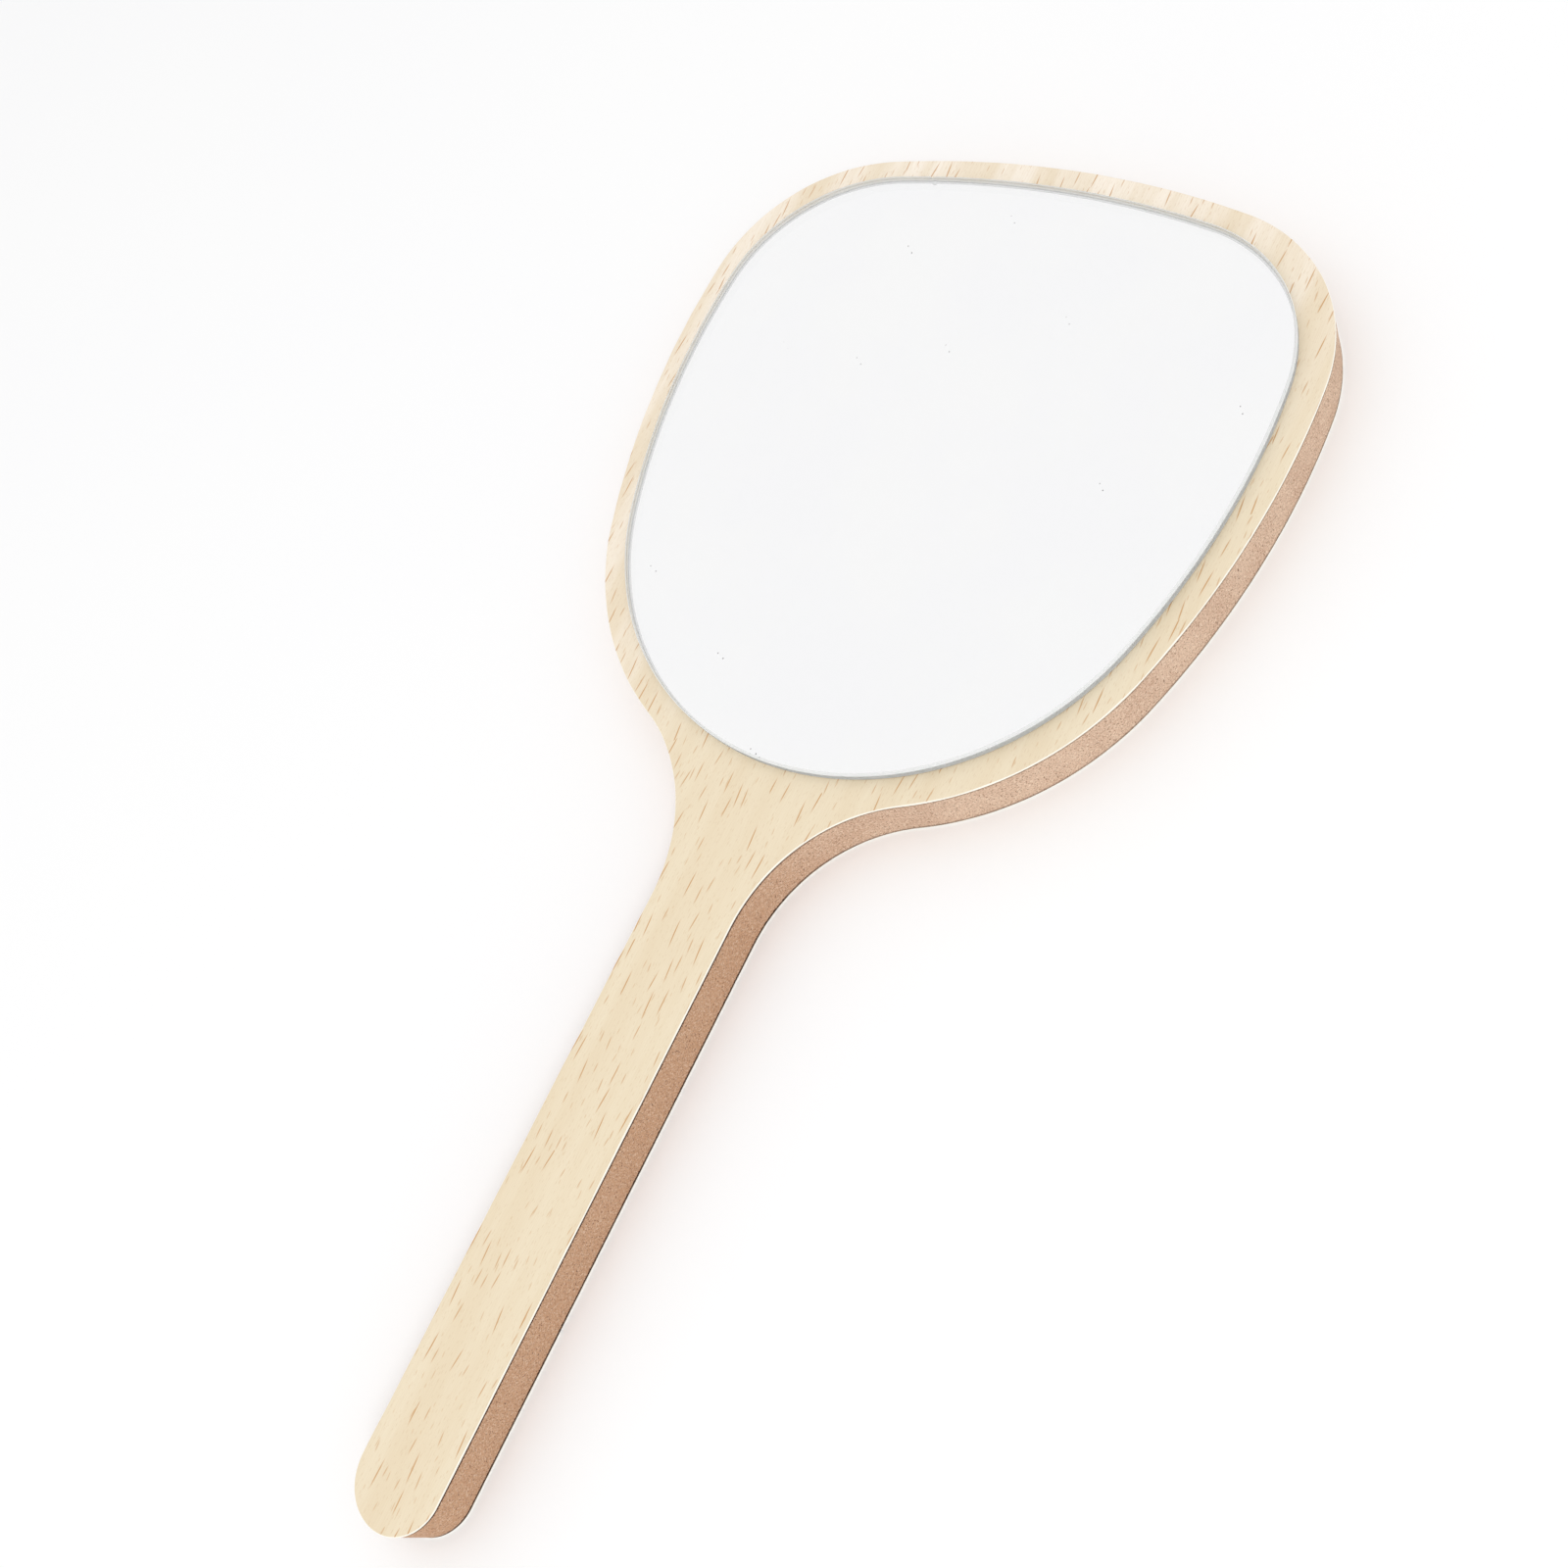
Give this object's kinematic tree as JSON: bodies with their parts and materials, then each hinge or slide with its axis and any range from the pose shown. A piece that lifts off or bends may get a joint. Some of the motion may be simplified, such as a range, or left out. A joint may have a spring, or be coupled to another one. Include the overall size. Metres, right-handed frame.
{
  "type": "hand mirror",
  "caption": "Handheld mirror: a ground-edge mirror plate taped to a paddle of beech-veneered fibreboard with a slim rounded handle.",
  "frame": {"origin": "under the middle of the mirror's whole length and width, on the plane that its back rests on", "axes": "+X across the head, +Y along the handle from its end towards the head, +Z out of the glass, away from the surface that the mirror lies on"},
  "size_m": [0.12, 0.25, 0.012],
  "materials": {
    "beech_veneer": "plain beech veneer with short flecks, sanded smooth, satin",
    "fibreboard": "medium density fibreboard, cut edge left raw and lightly sanded",
    "wood_glue": "thin dark glue line",
    "float_glass": "clear float glass, polished faces, fine ground edge",
    "silvering": "silver deposited on the back of the glass",
    "backing_paint": "flat grey protective paint",
    "transfer_tape": "translucent white double-sided tape"
  },
  "bodies": {
    "root": {"back_veneer": "beech_veneer", "back_glue_line": "wood_glue", "board_core": "fibreboard", "front_glue_line": "wood_glue", "front_veneer": "beech_veneer", "mirror_tape": "transfer_tape", "mirror_backing_paint": "backing_paint", "silver_layer": "silvering", "mirror_glass": "float_glass"}
  },
  "joints": []
}
